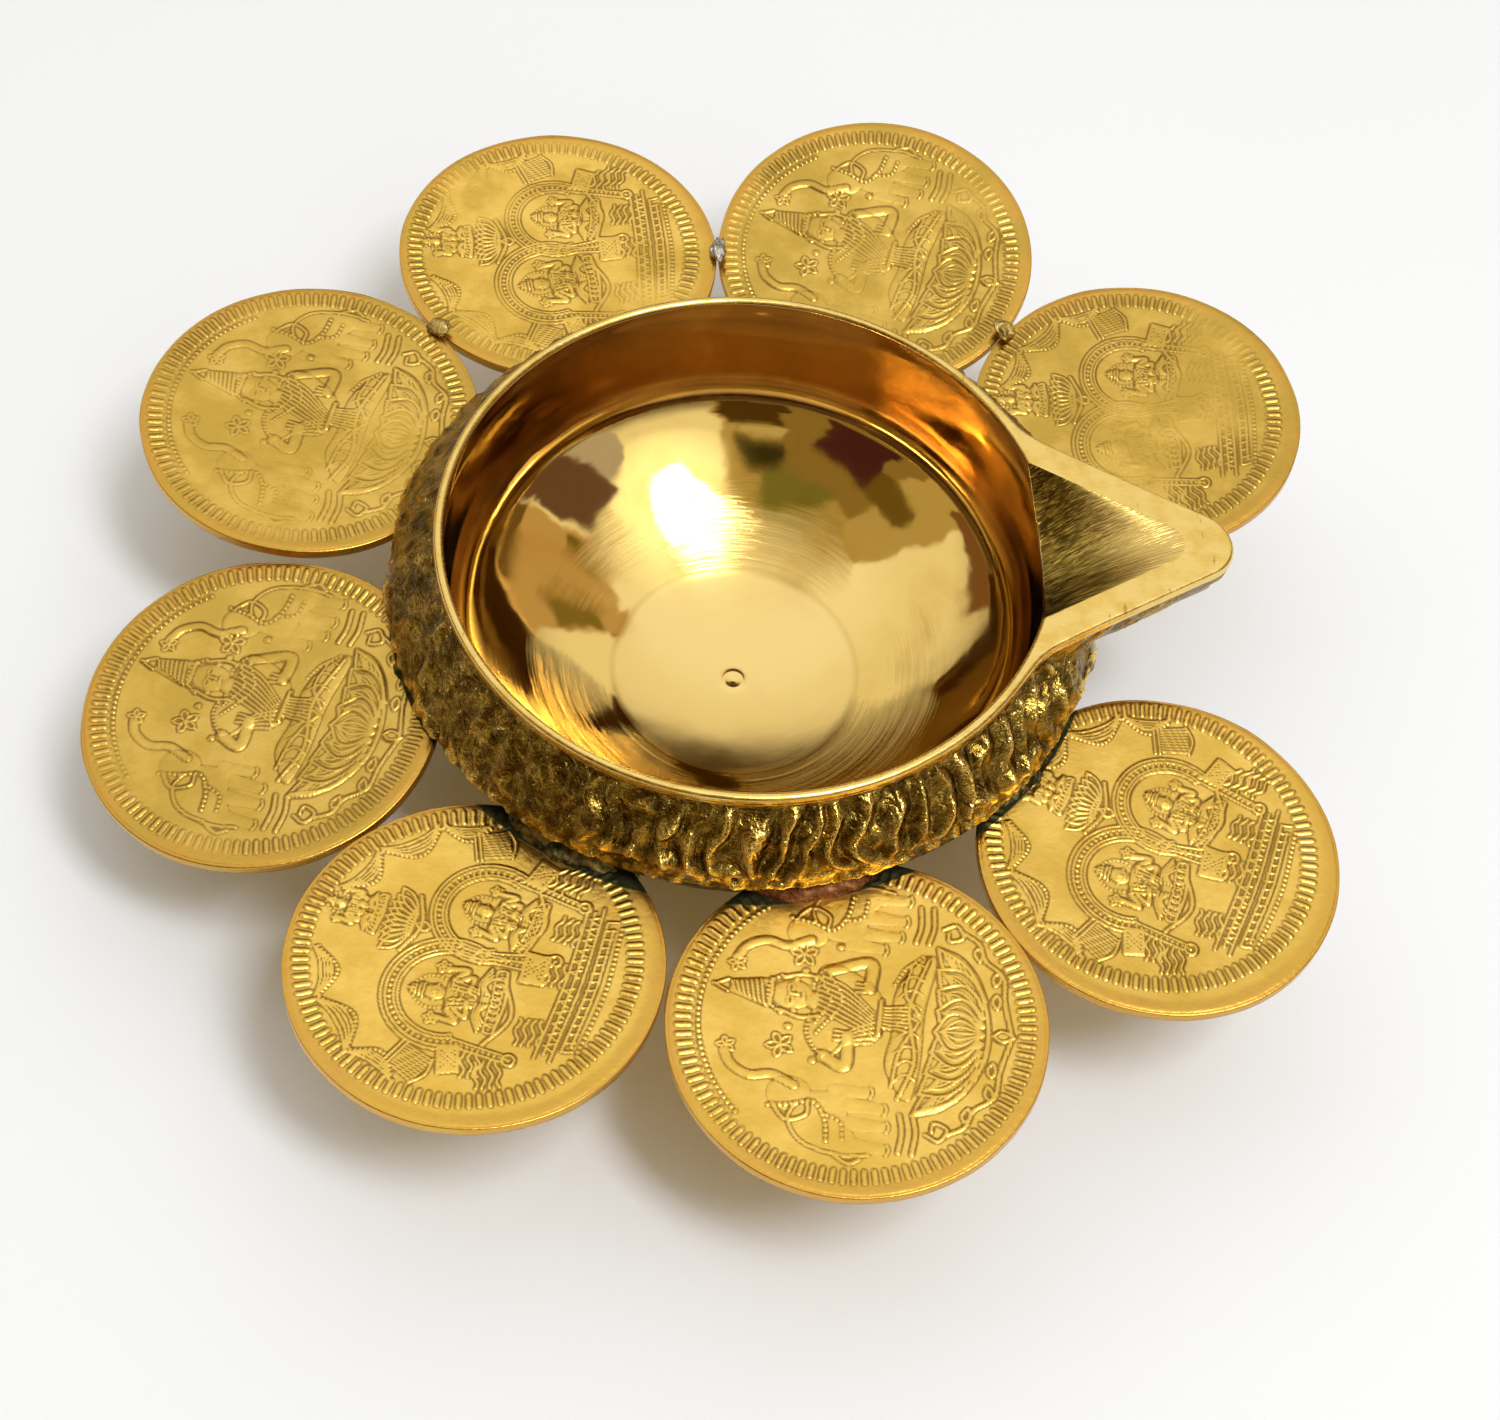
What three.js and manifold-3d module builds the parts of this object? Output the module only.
// A small cast brass oil lamp: a round bowl with one pouring and wick spout, and a ring of stamped
// brass coins soldered edge-on to its wall, like petals. Millimetres, +Z up, the spout points along +X,
// and the origin is the middle of the foot's underside.
import * as THREE from "three";
import { mergeVertices } from "three/addons/utils/BufferGeometryUtils.js";
import Module from "manifold-3d";

const wasm = await Module();
wasm.setup();

// ---------- driving dimensions ----------
const CLEARANCE = 0.3; // between pieces that touch on the real lamp

// coins
const COIN_RADIUS = 13.4;
const COIN_THICKNESS = 1;
const COIN_BORDER_WIDTH = 0.9;
const COIN_BORDER_RISE = 0.12;
const COIN_BEVEL = 0.15;
const COIN_DISH = 0.3; // the struck face is a little hollow
const COIN_FACE_DROP = 0.6; // skirt's lower edge down to a level coin's upper face
const COIN_SIDE_GAP = 0.27; // between neighbours in the ring
const SPOUT_OPENING = 66.5; // degrees between the middles of the two coins beside the spout
const RING_SKEW = -3.3; // degrees, the ring's middle from straight behind the spout

// Each coin was held by hand while it was soldered, so each sits a little differently:
// tilt lifts its outer edge, roll turns it about the line to the bowl's axis, lift raises all of it.
const COINS = [
  { name: "coin_1", tilt: 5, roll: 0, lift: 0.1 },
  { name: "coin_2", tilt: 10, roll: 0, lift: 0.2 },
  { name: "coin_3", tilt: 1.5, roll: 0, lift: -0.1 },
  { name: "coin_4", tilt: 2, roll: 0, lift: 0.3 },
  { name: "coin_5", tilt: -4.5, roll: 0, lift: -1.3 },
  { name: "coin_6", tilt: 4.5, roll: 2, lift: -0.2 },
  { name: "coin_7", tilt: 4, roll: 2, lift: 0.1 },
  { name: "coin_8", tilt: 1, roll: 0, lift: -0.4 },
];

// bowl: its width follows from the ring of coins, which closes round it
const RIM_WIDTH = 0.75; // flat land round the mouth
const RIM_BEVEL = 0.3; // broken inner edge of the land
const RIM_DEPTH = 0.8; // height of the land's own outer edge
const SPAN_FLOOR_TO_RIM = 20.3; // depth of the bowl on its axis
const UPRIGHT_WALL = 10.4; // rim down to the rounded bottom: the coins stand against this wall
const CAP_FILLET = 3; // between the upright wall and the rounded bottom
const SHELL = 1.3; // wall below the skirt
const BOTTOM_SHELL = 2.2; // wall of the rounded bottom
const DIMPLE_RADIUS = 0.5; // lathe centre mark in the floor
const DIMPLE_DEPTH = 0.35;
const SKIRT_DROP = 6.7; // rim down to the skirt's lower edge
const SKIRT_OVERHANG = 3.3; // skirt's lower edge beyond the wall below it
const SKIRT_UNDERCUT = 0.9; // rise of the skirt's underside towards the wall
const SKIRT_EDGE = 0.35; // blunt lower edge of the skirt
const SKIRT_SWELL = 0.5; // outward bulge of the skirt's face
const FOOT_RADIUS = 12;
const FOOT_EDGE = 0.4; // bevel round the foot
const FOOT_THICKNESS = 3.4; // foot's underside to the bowl's floor

// spout
const SPOUT_LENGTH = 13.3; // rim to the tip of the lip
const SPOUT_TIP_RADIUS = 3;
const SPOUT_SIDE_TURN = 61.3; // degrees, which way each side of the lip faces
const KEEL_LENGTH = 2; // skirt to the keel, at the skirt's lower edge
const KEEL_RADIUS = 2;
const SPOUT_BLEND = 1; // rounding between the spout's sides and the skirt
const CHANNEL_SET_BACK = 4; // middle of the scooped channel, inward from the rim
const CHANNEL_END_LAND = 3.9; // channel's end to the tip
const CHANNEL_HALF_WIDTH = 6.8;
const CHANNEL_DEPTH = 3.9;

// solder
const SOLDER_SPREAD = 6.6; // half-width along the coin's edge
const SOLDER_REACH = 4.2; // out over the coin, from the bowl's wall
const SOLDER_RISE = 1.8; // above and below the coin's faces
const TACKED = [0, 1, 2]; // coins that are also tacked to their next neighbour
const TACK_LENGTH = 1.9;
const TACK_WIDTH = 1.1;
const TACK_HEIGHT = 0.75;

// ---------- worked-out places ----------
const radians = THREE.MathUtils.degToRad;
const RING_PITCH = (2 * Math.PI - radians(SPOUT_OPENING)) / (COINS.length - 1);
const RING_RADIUS = (COIN_RADIUS + COIN_SIDE_GAP / 2) / Math.sin(RING_PITCH / 2);
const WALL_RADIUS = RING_RADIUS - COIN_RADIUS - CLEARANCE;
const MOUTH_RADIUS = WALL_RADIUS - SHELL;
const RIM_RADIUS = MOUTH_RADIUS + RIM_WIDTH;
const RIM_HEIGHT = FOOT_THICKNESS + SPAN_FLOOR_TO_RIM;
const SKIRT_HEIGHT = RIM_HEIGHT - SKIRT_DROP;
const SKIRT_RADIUS = WALL_RADIUS + SKIRT_OVERHANG;
const CAP_DEPTH = SPAN_FLOOR_TO_RIM - UPRIGHT_WALL;
const CAP_RADIUS = (MOUTH_RADIUS ** 2 + CAP_DEPTH ** 2) / (2 * CAP_DEPTH);
const CAP_CENTRE = FOOT_THICKNESS + CAP_RADIUS;
const COIN_CENTRE_HEIGHT = SKIRT_HEIGHT - COIN_FACE_DROP - COIN_THICKNESS / 2;
const SPOUT_REACH = RIM_RADIUS + SPOUT_LENGTH;
const KEEL_REACH = SKIRT_RADIUS + KEEL_LENGTH;
const CHANNEL_MIDDLE = RIM_RADIUS - CHANNEL_SET_BACK;

// ---------- fineness ----------
const BOWL_COLUMNS = 76;
const COLUMN_CROWDING = 0.72; // how much closer the columns stand ahead than they would evenly
const FLARE_ROWS = 5;

// ---------- finishes ----------
const bowlBrass = () => new THREE.MeshStandardMaterial({ color: 0xb58a35, roughness: 0.3, metalness: 1 });
const coinBrass = () => new THREE.MeshStandardMaterial({ color: 0xc79a45, roughness: 0.4, metalness: 1 });
const darkSolder = () => new THREE.MeshStandardMaterial({ color: 0x3f3a24, roughness: 0.7, metalness: 0.6 });

// ---------- solids ----------
function toSolid(geometry) {
  const bare = geometry.clone();
  bare.deleteAttribute("normal");
  bare.deleteAttribute("uv");
  const merged = mergeVertices(bare, 1e-4);
  return new wasm.Manifold(
    new wasm.Mesh({
      numProp: 3,
      vertProperties: merged.attributes.position.array,
      triVerts: new Uint32Array(merged.index.array),
    }),
  );
}

function toGeometry(solid) {
  const mesh = solid.getMesh();
  const geometry = new THREE.BufferGeometry();
  geometry.setAttribute("position", new THREE.BufferAttribute(mesh.vertProperties, 3));
  geometry.setIndex(new THREE.BufferAttribute(mesh.triVerts, 1));
  geometry.computeVertexNormals();
  return geometry;
}

function arc(centreRadius, centreHeight, radius, from, to, steps) {
  const curve = new THREE.EllipseCurve(centreRadius, centreHeight, radius, radius, from, to, to < from);
  return curve.getPoints(steps);
}

function turned(profile, segments) {
  return new THREE.LatheGeometry(profile, segments).rotateX(Math.PI / 2);
}

// ---------- bowl ----------
// Radius of the spout's outline at a turn from straight ahead, for a tip of the given reach and radius.
// Each side is the straight line that leaves the tip's arc, and it ends on the bowl.
function spoutRadius(turn, reach, tipRadius) {
  const side = radians(SPOUT_SIDE_TURN);
  const centre = reach - tipRadius;
  const away = Math.abs(turn);
  const touch = Math.atan2(tipRadius * Math.sin(side), centre + tipRadius * Math.cos(side));
  if (away <= touch) {
    return centre * Math.cos(away) + Math.sqrt(tipRadius ** 2 - (centre * Math.sin(away)) ** 2);
  }
  if (away < side) {
    return (centre * Math.cos(side) + tipRadius) / Math.cos(away - side);
  }
  return 0;
}

// The skirt's face, from its lower edge up to the rim.
function flare() {
  const points = [];
  for (let row = 0; row <= FLARE_ROWS; row += 1) {
    const up = row / FLARE_ROWS;
    const height = THREE.MathUtils.lerp(SKIRT_HEIGHT + SKIRT_EDGE, RIM_HEIGHT - RIM_DEPTH, up);
    const straight = THREE.MathUtils.lerp(SKIRT_RADIUS, RIM_RADIUS, up);
    points.push(new THREE.Vector2(straight + SKIRT_SWELL * Math.sin(Math.PI * up), height));
  }
  points.push(new THREE.Vector2(RIM_RADIUS, RIM_HEIGHT));
  return points;
}

function underside() {
  const outer = CAP_RADIUS + BOTTOM_SHELL;
  const start = -Math.acos(FOOT_RADIUS / outer);
  const end = -Math.acos(WALL_RADIUS / outer);
  return [
    new THREE.Vector2(0, 0),
    new THREE.Vector2(FOOT_RADIUS - FOOT_EDGE, 0),
    new THREE.Vector2(FOOT_RADIUS, FOOT_EDGE),
    ...arc(0, CAP_CENTRE, outer, start, end, 5),
    new THREE.Vector2(WALL_RADIUS, SKIRT_HEIGHT + SKIRT_UNDERCUT),
    new THREE.Vector2(SKIRT_RADIUS - SKIRT_EDGE, SKIRT_HEIGHT),
  ];
}

function inside() {
  const filletRadius = MOUTH_RADIUS - CAP_FILLET;
  const reach = CAP_RADIUS - CAP_FILLET;
  const filletHeight = CAP_CENTRE - Math.sqrt(reach ** 2 - filletRadius ** 2);
  const turn = -Math.acos(filletRadius / reach);
  const floorTurn = -Math.acos(DIMPLE_RADIUS / CAP_RADIUS);
  return [
    new THREE.Vector2(MOUTH_RADIUS + RIM_BEVEL, RIM_HEIGHT),
    new THREE.Vector2(MOUTH_RADIUS, RIM_HEIGHT - RIM_BEVEL),
    ...arc(filletRadius, filletHeight, CAP_FILLET, 0, turn, 4),
    ...arc(0, CAP_CENTRE, CAP_RADIUS, turn, floorTurn, 8).slice(1),
    new THREE.Vector2(0, FOOT_THICKNESS - DIMPLE_DEPTH),
  ];
}

// The larger of two radii, rounded off where they are nearly equal.
function softLarger(a, b) {
  return (a + b) / 2 + Math.hypot(a - b, SPOUT_BLEND) / 2;
}

// The turned body with its skirt drawn out into the spout. The lathe's columns are moved closer
// together ahead, where the tip is narrow.
function drawnBody() {
  const below = underside();
  const face = flare();
  const profile = [...below, ...face, ...inside()];
  const geometry = turned(profile, BOWL_COLUMNS);
  const position = geometry.getAttribute("position");
  const firstDrawn = below.length - 1;
  const lastDrawn = below.length + face.length - 1;
  for (let index = 0; index < position.count; index += 1) {
    const row = index % profile.length;
    const { x: radius, y: height } = profile[row];
    const column = Math.floor(index / profile.length) % BOWL_COLUMNS;
    const even = (2 * Math.PI * column) / BOWL_COLUMNS;
    const turn = Math.atan2(Math.sin(even), Math.cos(even)) - COLUMN_CROWDING * Math.sin(even);
    let drawn = radius;
    if (row >= firstDrawn && row <= lastDrawn) {
      const down = THREE.MathUtils.clamp((RIM_HEIGHT - RIM_DEPTH - height) / (SKIRT_DROP - RIM_DEPTH), 0, 1);
      const reach = THREE.MathUtils.lerp(SPOUT_REACH, KEEL_REACH, down);
      const tip = THREE.MathUtils.lerp(SPOUT_TIP_RADIUS, KEEL_RADIUS, down);
      drawn = softLarger(radius, spoutRadius(turn, reach, tip));
    }
    position.setXYZ(index, drawn * Math.cos(turn), drawn * Math.sin(turn), height);
  }
  return geometry;
}

function channelScoop() {
  const length = SPOUT_REACH - CHANNEL_END_LAND - CHANNEL_MIDDLE;
  return new THREE.SphereGeometry(1, 32, 18)
    .rotateX(Math.PI / 2)
    .scale(length, CHANNEL_HALF_WIDTH, CHANNEL_DEPTH)
    .translate(CHANNEL_MIDDLE, 0, RIM_HEIGHT);
}

function bowl() {
  const body = toSolid(drawnBody()).subtract(toSolid(channelScoop()));
  const mesh = new THREE.Mesh(toGeometry(body), bowlBrass());
  mesh.name = "bowl";
  return mesh;
}

// Everything the bowl fills near its wall and skirt, grown by the clearance: solder is cut back to it.
function bowlRoom() {
  const wall = WALL_RADIUS + CLEARANCE;
  const edge = SKIRT_RADIUS + CLEARANCE;
  return turned(
    [
      new THREE.Vector2(0, 0),
      new THREE.Vector2(wall, 0),
      new THREE.Vector2(wall, SKIRT_HEIGHT + SKIRT_UNDERCUT - CLEARANCE),
      new THREE.Vector2(edge - SKIRT_EDGE, SKIRT_HEIGHT - CLEARANCE),
      new THREE.Vector2(edge, SKIRT_HEIGHT + SKIRT_EDGE - CLEARANCE),
      new THREE.Vector2(edge, RIM_HEIGHT),
      new THREE.Vector2(0, RIM_HEIGHT),
    ],
    48,
  );
}

// ---------- coins ----------
function coinGeometry() {
  const half = COIN_THICKNESS / 2;
  const field = COIN_RADIUS - COIN_BORDER_WIDTH;
  const hollow = (radius) => COIN_DISH * ((radius / field) ** 2 - 1);
  const radii = [0, field * 0.6, field];
  const under = radii.map((radius) => new THREE.Vector2(radius, hollow(radius) - half + COIN_BORDER_RISE));
  const over = radii.map((radius) => new THREE.Vector2(radius, hollow(radius) + half - COIN_BORDER_RISE));
  const border = [
    new THREE.Vector2(field + COIN_BORDER_RISE, -half),
    new THREE.Vector2(COIN_RADIUS - COIN_BEVEL, -half),
    new THREE.Vector2(COIN_RADIUS, COIN_BEVEL - half),
    new THREE.Vector2(COIN_RADIUS, half - COIN_BEVEL),
    new THREE.Vector2(COIN_RADIUS - COIN_BEVEL, half),
    new THREE.Vector2(field + COIN_BORDER_RISE, half),
  ];
  return turned([...under, ...border, ...over.reverse()], 36);
}

// The room one coin takes, grown by the clearance.
function coinRoom() {
  const thickness = COIN_THICKNESS + 2 * CLEARANCE;
  return new THREE.CylinderGeometry(COIN_RADIUS + CLEARANCE, COIN_RADIUS + CLEARANCE, thickness, 40)
    .rotateX(Math.PI / 2);
}

// The group that carries one coin: turned round the bowl's axis, moved out until the coin's inner
// edge stands against the wall, then tilted.
function station(index) {
  const { tilt, roll, lift } = COINS[index];
  const azimuth = Math.PI + radians(RING_SKEW) + (index - (COINS.length - 1) / 2) * RING_PITCH;
  const turn = new THREE.Group();
  turn.rotation.z = azimuth;
  const seat = new THREE.Group();
  const out = WALL_RADIUS + CLEARANCE + COIN_RADIUS * Math.cos(radians(tilt));
  seat.position.set(out, 0, COIN_CENTRE_HEIGHT + lift);
  seat.rotation.set(radians(roll), -radians(tilt), 0, "YXZ");
  turn.add(seat);
  turn.updateMatrixWorld(true);
  return { turn, seat };
}

// Solder that runs round the place where a coin's inner edge meets the wall, above and below it.
function solder(index, seat) {
  const { name, tilt, lift } = COINS[index];
  const edgeHeight = COIN_CENTRE_HEIGHT + lift - COIN_RADIUS * Math.sin(radians(tilt));
  const blob = new THREE.SphereGeometry(1, 16, 10)
    .scale(SOLDER_REACH, SOLDER_SPREAD, SOLDER_RISE + COIN_THICKNESS / 2)
    .translate(WALL_RADIUS + CLEARANCE, 0, edgeHeight);
  const body = toSolid(blob)
    .subtract(toSolid(coinRoom().applyMatrix4(seat.matrix)))
    .subtract(toSolid(bowlRoom()));
  const mesh = new THREE.Mesh(toGeometry(body), darkSolder());
  mesh.name = name + "_solder";
  return mesh;
}

// A bead laid on top of the nip between two neighbouring coins.
function tack(index, seats) {
  const next = index + 1;
  const here = new THREE.Vector3().setFromMatrixPosition(seats[index].matrixWorld);
  const there = new THREE.Vector3().setFromMatrixPosition(seats[next].matrixWorld);
  const nip = here.clone().add(there).multiplyScalar(0.5);
  const across = Math.atan2(there.y - here.y, there.x - here.x);
  const bead = new THREE.SphereGeometry(1, 12, 8)
    .scale(TACK_WIDTH, TACK_LENGTH, TACK_HEIGHT)
    .rotateZ(across)
    .translate(nip.x, nip.y, nip.z + COIN_THICKNESS / 2);
  const body = toSolid(bead)
    .subtract(toSolid(coinRoom().applyMatrix4(seats[index].matrixWorld)))
    .subtract(toSolid(coinRoom().applyMatrix4(seats[next].matrixWorld)));
  const mesh = new THREE.Mesh(toGeometry(body), darkSolder());
  mesh.name = `tack_${index + 1}_${next + 1}`;
  return mesh;
}

// ---------- assembly ----------
const lamp = new THREE.Group();
lamp.add(bowl());
const seats = COINS.map((coin, index) => {
  const { turn, seat } = station(index);
  const disc = new THREE.Mesh(coinGeometry(), coinBrass());
  disc.name = coin.name;
  seat.add(disc);
  turn.add(solder(index, seat));
  lamp.add(turn);
  return seat;
});
TACKED.forEach((index) => lamp.add(tack(index, seats)));

export default lamp;
